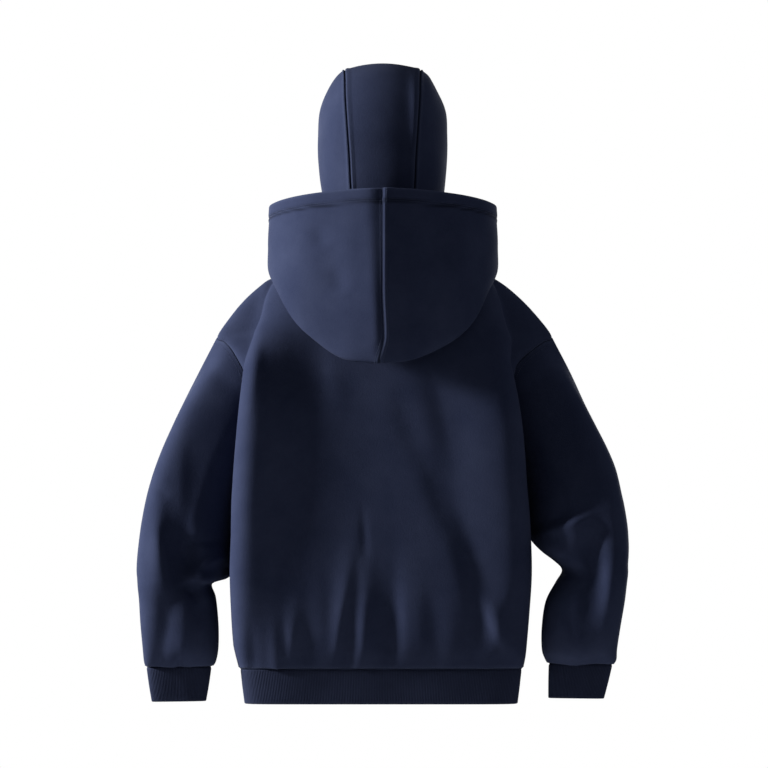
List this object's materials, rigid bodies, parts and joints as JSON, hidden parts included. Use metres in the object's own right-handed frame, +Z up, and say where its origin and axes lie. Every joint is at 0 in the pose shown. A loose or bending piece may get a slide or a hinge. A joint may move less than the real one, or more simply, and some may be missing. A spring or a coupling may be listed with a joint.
{
  "type": "pullover hoodie",
  "caption": "Fleece pullover hoodie filled out with no wearer, with a close inner hood standing up and a wide outer hood thrown back, open at neck, hem and cuffs.",
  "frame": {"origin": "middle of the neck opening, level with the points where the shoulder seams meet it", "axes": "+Z up through the head, the chest faces -Y, and +X is the wearer's left"},
  "size_m": [0.7593, 0.3164, 0.9885],
  "materials": {
    "fleece": "matte brushed fleece",
    "rib_knit": "matte rib knit"
  },
  "bodies": {
    "root": {"back_panel": "fleece", "front_panel": "fleece", "sleeve_left": "fleece", "sleeve_right": "fleece", "inner_hood_left": "fleece", "inner_hood_right": "fleece", "inner_hood_crown": "fleece", "outer_hood_left": "fleece", "outer_hood_right": "fleece", "cuff_left": "rib_knit", "cuff_right": "rib_knit", "hem_band": "rib_knit"}
  },
  "joints": []
}
